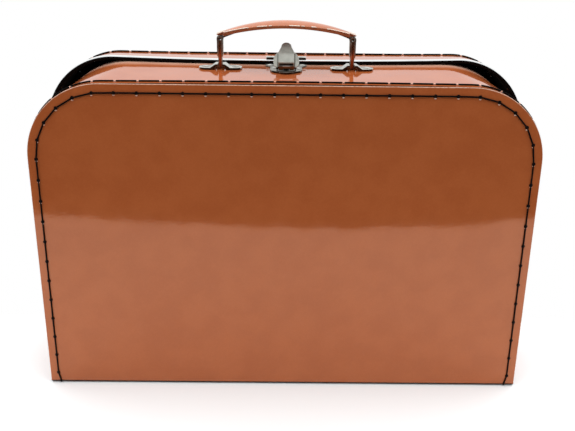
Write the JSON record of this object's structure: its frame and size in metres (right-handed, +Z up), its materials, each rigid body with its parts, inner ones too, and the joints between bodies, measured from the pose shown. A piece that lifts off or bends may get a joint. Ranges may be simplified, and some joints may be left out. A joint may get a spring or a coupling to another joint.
{
  "type": "small suitcase",
  "caption": "Small hard suitcase with a deep base tray, a shallow hinged lid with a bright metal rim, a folding carrying handle and a spring lever latch on top.",
  "frame": {"origin": "middle of the footprint, on the plane of the bottom", "axes": "+X along the long side to the right when seen from the handle side's face, +Y from the base's face towards the lid, +Z up"},
  "size_m": [0.3606, 0.1116, 0.2634],
  "materials": {
    "coated_board": "solid board with a glossy brown coating",
    "lining_paper": "matt black lining paper",
    "waxed_thread": "black waxed thread",
    "bright_rim": "bright nickel-plated steel",
    "fitting_steel": "satin nickel-plated steel",
    "rivet_steel": "satin nickel-plated steel",
    "pin_steel": "plain drawn steel",
    "grip_cover": "semi-gloss tan moulded cover"
  },
  "bodies": {
    "base": {"base_panel": "coated_board", "base_wall": "coated_board", "base_lining": "lining_paper", "base_seam_thread": "waxed_thread", "base_corner_rivets": "rivet_steel", "base_hinge_leaf_left": "fitting_steel", "base_hinge_leaf_right": "fitting_steel", "hinge_pin_left": "pin_steel", "hinge_pin_right": "pin_steel", "base_hinge_rivets": "rivet_steel", "handle_bracket_left": "fitting_steel", "handle_bracket_right": "fitting_steel", "bracket_backing_left": "fitting_steel", "bracket_backing_right": "fitting_steel", "bracket_rivets": "rivet_steel", "latch_base_plate": "fitting_steel", "latch_rivets": "rivet_steel", "latch_pin": "pin_steel", "latch_spring": "pin_steel", "latch_spring_rivet": "rivet_steel"},
    "lid": {"lid_panel": "coated_board", "lid_wall": "coated_board", "lid_lining": "lining_paper", "lid_seam_thread": "waxed_thread", "lid_corner_rivets": "rivet_steel", "lid_rim": "bright_rim", "lid_hinge_leaf_left": "fitting_steel", "lid_hinge_leaf_right": "fitting_steel", "lid_hinge_rivets": "rivet_steel", "latch_strike": "fitting_steel", "strike_rivets": "rivet_steel"},
    "handle": {"handle_leg_left": "fitting_steel", "handle_leg_right": "fitting_steel", "grip_core": "pin_steel", "grip_cover": "grip_cover"},
    "latch": {"latch_lever": "fitting_steel"}
  },
  "joints": [
    {"name": "lid_hinge", "type": "hinge", "parent": "base", "child": "lid", "pos_m": [0, 0.0225, 0.0012], "axis": [-1, 0, 0], "range_deg": [0, 110]},
    {"name": "handle_fold", "type": "hinge", "parent": "base", "child": "handle", "pos_m": [0, 0, 0.23046], "axis": [1, 0, 0], "range_deg": [-55, 68]},
    {"name": "latch_lift", "type": "hinge", "parent": "base", "child": "latch", "pos_m": [0, -0.0123, 0.23179], "axis": [1, 0, 0], "range_deg": [0, 40], "deforming": ["latch_spring"]}
  ]
}
